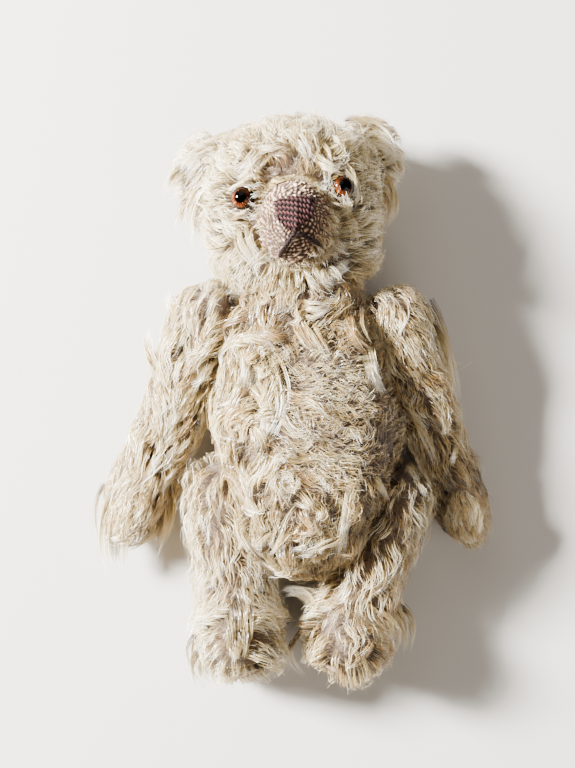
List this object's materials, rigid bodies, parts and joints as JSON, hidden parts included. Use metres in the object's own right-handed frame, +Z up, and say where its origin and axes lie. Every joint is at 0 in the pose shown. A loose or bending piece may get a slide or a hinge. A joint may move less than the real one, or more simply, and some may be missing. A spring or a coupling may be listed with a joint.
{
  "type": "threadbare teddy bear",
  "caption": "Small old jointed teddy bear in worn cream mohair with glass eyes and a stitched nose.",
  "frame": {"origin": "on the surface that the bear lies on, under the middle of its bounding box", "axes": "+Z up from the back to the belly, +Y from the feet to the head, +X to the viewer's right"},
  "size_m": [0.1294, 0.1856, 0.0633],
  "materials": {
    "mohair": "curled cream mohair pile on a tan woven cotton backing, worn thin",
    "muzzle_cloth": "bare knobbly pinkish weave, pile gone",
    "felt": "matted brown felt",
    "wood_wool": "fine wood shavings packed firm",
    "eye_glass": "amber glass painted behind, black pupil",
    "nose_thread": "faded brown embroidery cotton",
    "hardboard": "pressed board, plain",
    "steel": "dull plain steel"
  },
  "bodies": {
    "torso": {"body_cloth": "mohair", "body_stuffing": "wood_wool", "shoulder_left_disc_body_side": "hardboard", "shoulder_left_washer_body_side": "steel", "shoulder_left_cotter_pin": "steel", "shoulder_right_disc_body_side": "hardboard", "shoulder_right_washer_body_side": "steel", "shoulder_right_cotter_pin": "steel", "hip_left_disc_body_side": "hardboard", "hip_left_washer_body_side": "steel", "hip_left_cotter_pin": "steel", "hip_right_disc_body_side": "hardboard", "hip_right_washer_body_side": "steel", "hip_right_cotter_pin": "steel", "neck_disc_body_side": "hardboard", "neck_washer_body_side": "steel", "neck_cotter_pin": "steel"},
    "head": {"head_cloth": "mohair", "head_stuffing": "wood_wool", "muzzle_cloth": "muzzle_cloth", "ear_left": "mohair", "ear_right": "mohair", "eye_left": "eye_glass", "eye_right": "eye_glass", "nose_stitching": "nose_thread", "mouth_stitching": "nose_thread", "neck_disc_head_side": "hardboard", "neck_washer_head_side": "steel"},
    "arm_left": {"arm_left_cloth": "mohair", "arm_left_stuffing": "wood_wool", "paw_pad_left": "felt", "shoulder_left_disc_arm_side": "hardboard", "shoulder_left_washer_arm_side": "steel"},
    "arm_right": {"arm_right_cloth": "mohair", "arm_right_stuffing": "wood_wool", "paw_pad_right": "felt", "shoulder_right_disc_arm_side": "hardboard", "shoulder_right_washer_arm_side": "steel"},
    "leg_left": {"leg_left_cloth": "mohair", "leg_left_stuffing": "wood_wool", "foot_pad_left": "felt", "hip_left_disc_leg_side": "hardboard", "hip_left_washer_leg_side": "steel"},
    "leg_right": {"leg_right_cloth": "mohair", "leg_right_stuffing": "wood_wool", "foot_pad_right": "felt", "hip_right_disc_leg_side": "hardboard", "hip_right_washer_leg_side": "steel"}
  },
  "joints": [
    {"name": "neck_swivel", "type": "hinge", "parent": "torso", "child": "head", "pos_m": [0.001, 0.03862, 0.025], "axis": [-0.1132, 0.9936, 0], "continuous": true},
    {"name": "shoulder_left_swing", "type": "hinge", "parent": "torso", "child": "arm_left", "pos_m": [-0.0225, 0.02195, 0.0245], "axis": [-0.9397, 0.342, 0], "range_deg": [-105, 135]},
    {"name": "shoulder_right_swing", "type": "hinge", "parent": "torso", "child": "arm_right", "pos_m": [0.0245, 0.02195, 0.0245], "axis": [-0.9511, -0.309, 0], "range_deg": [-105, 135]},
    {"name": "hip_left_swing", "type": "hinge", "parent": "torso", "child": "leg_left", "pos_m": [-0.019, -0.03405, 0.021], "axis": [-0.9781, -0.2079, 0], "range_deg": [-90, 115]},
    {"name": "hip_right_swing", "type": "hinge", "parent": "torso", "child": "leg_right", "pos_m": [0.0248, -0.03405, 0.021], "axis": [-0.9135, 0.4067, 0], "range_deg": [-90, 115]}
  ]
}
